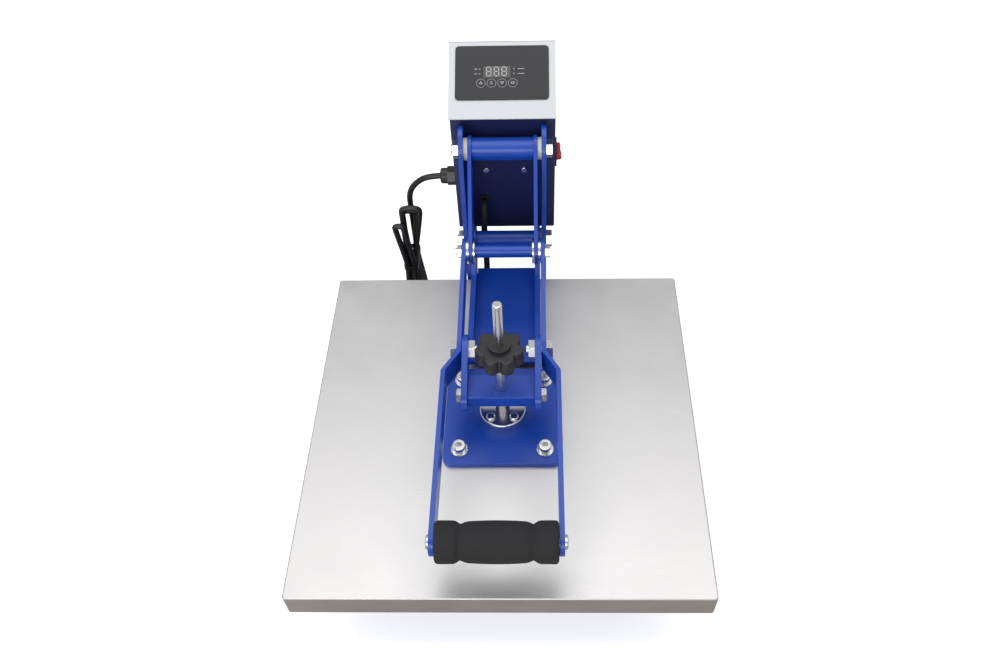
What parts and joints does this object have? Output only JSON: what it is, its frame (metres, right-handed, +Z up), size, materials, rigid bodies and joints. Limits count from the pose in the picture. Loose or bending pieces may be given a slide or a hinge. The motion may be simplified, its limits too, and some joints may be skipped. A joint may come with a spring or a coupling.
{
  "type": "flat heat press",
  "caption": "Manual clamshell heat press with a flat square platen, toggle handle, pressure knob, upright control box and tied mains cord.",
  "frame": {"origin": "on the table, below the middle of the press without its mains cord", "axes": "+Z up, +Y to the rear, +X to the operator's right"},
  "size_m": [0.3992, 0.514, 0.3478],
  "materials": {
    "steel_blue": "blue powder coat",
    "housing_navy": "dark navy powder coat",
    "brushed": "horizontally brushed",
    "zinc": "bright zinc plated",
    "steel": "turned",
    "alu": "machined",
    "alu_coated": "non-stick coat",
    "silicone": "matt",
    "rubber": "matt",
    "foam": "foam",
    "black_plastic": "moulded",
    "nylon": "natural nylon",
    "silver_paint": "silver paint",
    "panel": "membrane",
    "glass": "smoked window",
    "led": "lens",
    "red": "moulded",
    "pvc": "smooth sheath",
    "braid": "braided",
    "brass": "bright",
    "wool": "mineral wool",
    "pcb": "laminate"
  },
  "bodies": {
    "stand": {"rubber_feet": "rubber", "cross_bars": "steel_blue", "bed_rails": "steel_blue", "side_plate_left": "steel_blue", "side_plate_right": "steel_blue", "bed_plate": "steel_blue", "lower_platen": "alu", "bed_screws": "zinc", "silicone_pad": "silicone", "rear_housing": "housing_navy", "rear_cover": "housing_navy", "housing_screws": "zinc", "controller_board": "pcb", "power_relay": "black_plastic", "control_box": "silver_paint", "display_window": "glass", "control_panel": "panel", "status_lights": "led", "rocker_frame": "black_plastic", "cord_gland": "black_plastic", "power_cord": "pvc", "power_cord_hank": "pvc", "cord_tie": "black_plastic", "plug_body": "black_plastic", "plug_pins": "brass", "pivot_bolts": "zinc", "pivot_spacers": "nylon", "heater_lead": "braid", "lead_bush": "rubber"},
    "links": {"link_left": "steel_blue", "link_right": "steel_blue", "link_tube": "steel_blue"},
    "arm": {"arm_left": "steel_blue", "arm_right": "steel_blue", "arm_web": "steel_blue", "arm_pivot_tube": "steel_blue", "cross_block": "steel_blue", "cross_block_bolts": "zinc", "lever_pivot_bolts": "zinc"},
    "lever": {"lever_left": "steel_blue", "lever_right": "steel_blue", "toggle_tube": "steel_blue", "toggle_bolt": "zinc", "toggle_washers": "zinc", "grip_rod": "zinc", "hand_grip": "foam"},
    "platen": {"platen_cover": "brushed", "heating_plate": "alu_coated", "insulation_blanket": "wool", "platen_bracket": "steel_blue", "platen_screws": "zinc", "thrust_cup": "zinc", "cover_bush": "rubber"},
    "screw": {"pressure_screw": "zinc", "star_knob": "black_plastic"},
    "rocker": {"rocker_key": "red"},
    "button_up": {"button_up": "panel"},
    "button_mode": {"button_mode": "panel"},
    "button_down": {"button_down": "panel"},
    "button_set": {"button_set": "panel"}
  },
  "joints": [
    {"name": "arm_lift", "type": "hinge", "parent": "stand", "child": "arm", "pos_m": [0, 0.149, 0.162], "axis": [-1, 0, 0], "range_deg": [0, 40], "deforming": ["heater_lead"]},
    {"name": "lever_swing", "type": "hinge", "parent": "arm", "child": "lever", "pos_m": [0, -0.025, 0.178], "axis": [-1, 0, 0], "range_deg": [0, 20.5]},
    {"name": "link_swing", "type": "hinge", "parent": "stand", "child": "links", "pos_m": [0, 0.169, 0.274], "axis": [-1, 0, 0], "range_deg": [-4.4, 0]},
    {"name": "platen_lift", "type": "slide", "parent": "arm", "child": "platen", "axis": [0, 0, 1], "range_m": [0, 0.006]},
    {"name": "knob_turn", "type": "hinge", "parent": "platen", "child": "screw", "pos_m": [0, -0.062, 0.15], "axis": [0, 0, 1], "range_deg": [0, 1080]},
    {"name": "rocker_tilt", "type": "hinge", "parent": "stand", "child": "rocker", "pos_m": [0.053, 0.208, 0.238], "axis": [0, 1, 0], "range_deg": [0, 14]},
    {"name": "button_up_press", "type": "slide", "parent": "stand", "child": "button_up", "axis": [0, 0.495, -0.8689], "range_m": [0, 0.0006], "stiffness_N_per_m": 300, "springref_m": -0.001},
    {"name": "button_mode_press", "type": "slide", "parent": "stand", "child": "button_mode", "axis": [0, 0.495, -0.8689], "range_m": [0, 0.0006], "stiffness_N_per_m": 300, "springref_m": -0.001},
    {"name": "button_down_press", "type": "slide", "parent": "stand", "child": "button_down", "axis": [0, 0.495, -0.8689], "range_m": [0, 0.0006], "stiffness_N_per_m": 300, "springref_m": -0.001},
    {"name": "button_set_press", "type": "slide", "parent": "stand", "child": "button_set", "axis": [0, 0.495, -0.8689], "range_m": [0, 0.0006], "stiffness_N_per_m": 300, "springref_m": -0.001}
  ],
  "couplings": [
    {"joint": "lever_swing", "follows": "arm_lift", "ratio": 0.50876},
    {"joint": "link_swing", "follows": "arm_lift", "ratio": -0.10651},
    {"joint": "knob_turn", "follows": "platen_lift", "rad_per_m": 3141.6}
  ]
}
